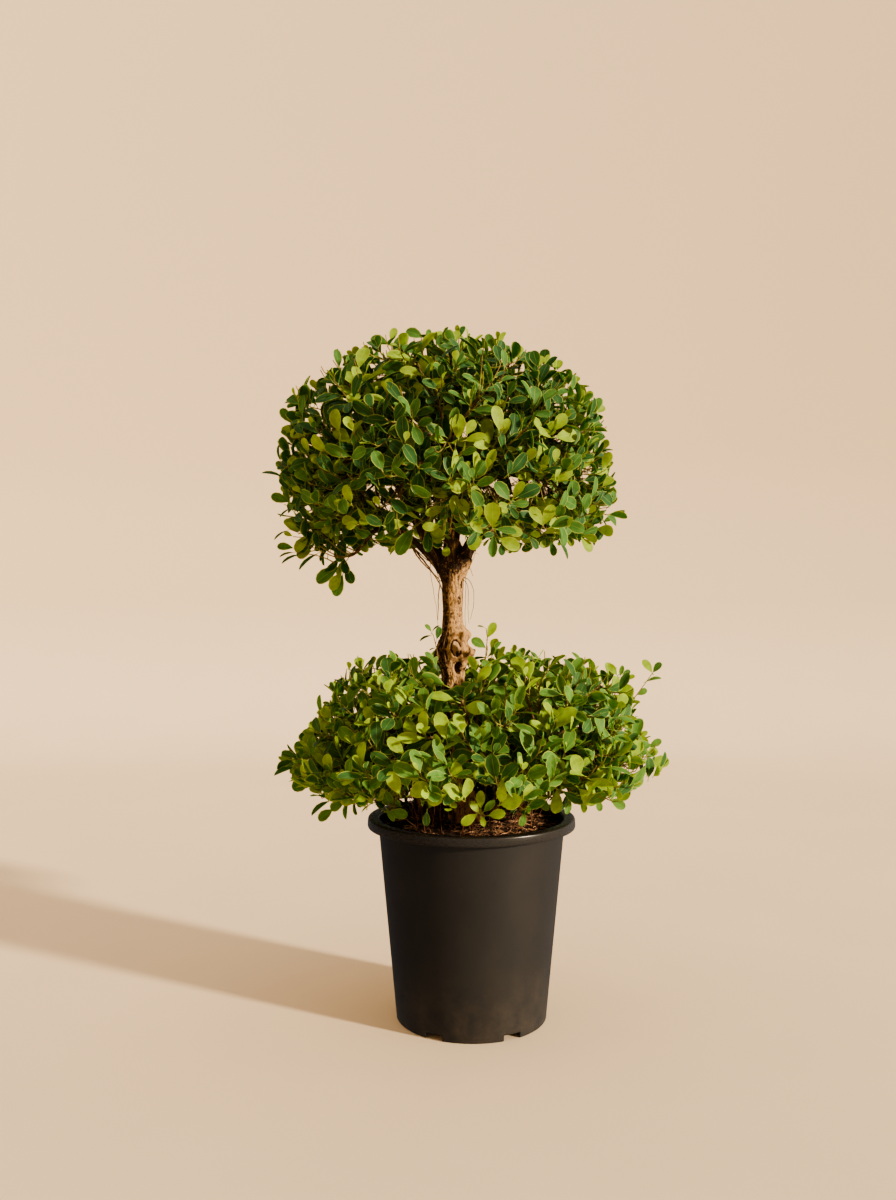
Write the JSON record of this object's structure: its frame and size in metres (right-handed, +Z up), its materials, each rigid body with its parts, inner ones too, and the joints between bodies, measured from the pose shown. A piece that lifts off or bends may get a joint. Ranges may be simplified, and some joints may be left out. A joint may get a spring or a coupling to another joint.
{
  "type": "potted ficus tiered topiary",
  "caption": "Small-leaved ficus trained as a tiered topiary: a clipped dome of foliage on a bare leaning trunk above a loose leafy mound, in a black nursery pot with a wide lip.",
  "frame": {"origin": "middle of the flat underside of the pot, on the pot's axis", "axes": "+Z up, along the pot's axis and the plant's height; -Y towards the side that shows in the picture; +X to the right as seen from that side"},
  "size_m": [0.8495, 0.7891, 1.4673],
  "materials": {
    "pot_plastic": "satin",
    "soil": "matte",
    "bark": "matte",
    "crown_leaf": "satin",
    "mound_leaf": "satin"
  },
  "bodies": {
    "root": {"pot": "pot_plastic", "soil": "soil", "trunk": "bark", "crown_bough_1": "bark", "crown_bough_2": "bark", "crown_bough_3": "bark", "crown_bough_4": "bark", "crown_bough_5": "bark", "crown_bough_6": "bark", "crown_bough_7": "bark", "mound_bough_1": "bark", "mound_bough_2": "bark", "mound_bough_3": "bark", "mound_bough_4": "bark", "mound_bough_5": "bark", "mound_bough_6": "bark", "mound_bough_7": "bark", "mound_bough_8": "bark", "low_spray_bough": "bark", "crown_foliage_1": "crown_leaf", "crown_foliage_2": "crown_leaf", "crown_foliage_3": "crown_leaf", "crown_foliage_4": "crown_leaf", "crown_foliage_5": "crown_leaf", "crown_foliage_6": "crown_leaf", "crown_foliage_7": "crown_leaf", "mound_foliage_1": "mound_leaf", "mound_foliage_2": "mound_leaf", "mound_foliage_3": "mound_leaf", "mound_foliage_4": "mound_leaf", "mound_foliage_5": "mound_leaf", "mound_foliage_6": "mound_leaf", "mound_foliage_7": "mound_leaf", "mound_foliage_8": "mound_leaf", "low_spray_foliage": "crown_leaf"}
  },
  "joints": []
}
